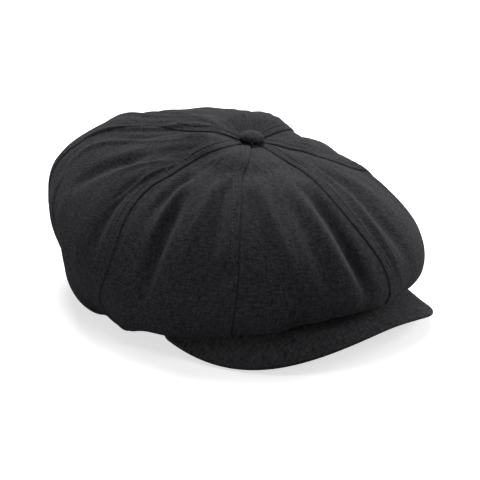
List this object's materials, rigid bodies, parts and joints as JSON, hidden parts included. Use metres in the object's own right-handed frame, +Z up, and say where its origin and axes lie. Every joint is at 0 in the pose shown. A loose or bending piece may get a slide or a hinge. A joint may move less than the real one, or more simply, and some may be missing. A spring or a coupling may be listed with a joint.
{
  "type": "newsboy cap",
  "caption": "Soft newsboy cap with a full gored crown gathered to a covered button, a headband, a lining and a short stiff peak held to the crown by a press stud.",
  "frame": {"origin": "on the surface the cap lies on, under the middle of its bounding box", "axes": "+Z up, -Y towards the peak (front), +X towards the wearer's left"},
  "size_m": [0.2446, 0.3288, 0.1459],
  "materials": {
    "crown_cloth": "near-black cotton twill, matt, fine diagonal weave, topstitched seams",
    "peak_cloth": "the same near-black cotton twill, stretched smooth over the peak",
    "lining_cloth": "thin black woven lining with a slight sheen",
    "sweatband_tape": "black ribbed cotton sweatband tape",
    "stiffener_tape": "stiff off-white interfacing, hidden",
    "peak_board": "moulded polyethylene board, hidden inside the peak",
    "button_metal": "pressed shell and back plate of the covered button",
    "snap_metal": "blackened steel press stud with worn bright rims"
  },
  "bodies": {
    "cap": {"crown_panel_front_left": "crown_cloth", "crown_panel_temple_left": "crown_cloth", "crown_panel_side_left": "crown_cloth", "crown_panel_back_left": "crown_cloth", "crown_panel_front_right": "crown_cloth", "crown_panel_temple_right": "crown_cloth", "crown_panel_side_right": "crown_cloth", "crown_panel_back_right": "crown_cloth", "lining_panel_front_left": "lining_cloth", "lining_panel_temple_left": "lining_cloth", "lining_panel_side_left": "lining_cloth", "lining_panel_back_left": "lining_cloth", "lining_panel_front_right": "lining_cloth", "lining_panel_temple_right": "lining_cloth", "lining_panel_side_right": "lining_cloth", "lining_panel_back_right": "lining_cloth", "headband": "crown_cloth", "band_stiffener": "stiffener_tape", "sweatband": "sweatband_tape", "button_cover": "crown_cloth", "button_shell": "button_metal", "button_back": "button_metal", "snap_socket": "snap_metal", "snap_cap": "snap_metal"},
    "peak": {"peak_top_cloth": "peak_cloth", "peak_board": "peak_board", "peak_under_cloth": "peak_cloth", "snap_stud": "snap_metal"}
  },
  "joints": [
    {"name": "peak_hinge", "type": "hinge", "parent": "cap", "child": "peak", "pos_m": [0, -0.03032, 0.03818], "axis": [1, 0, 0], "range_deg": [0, 8]}
  ]
}
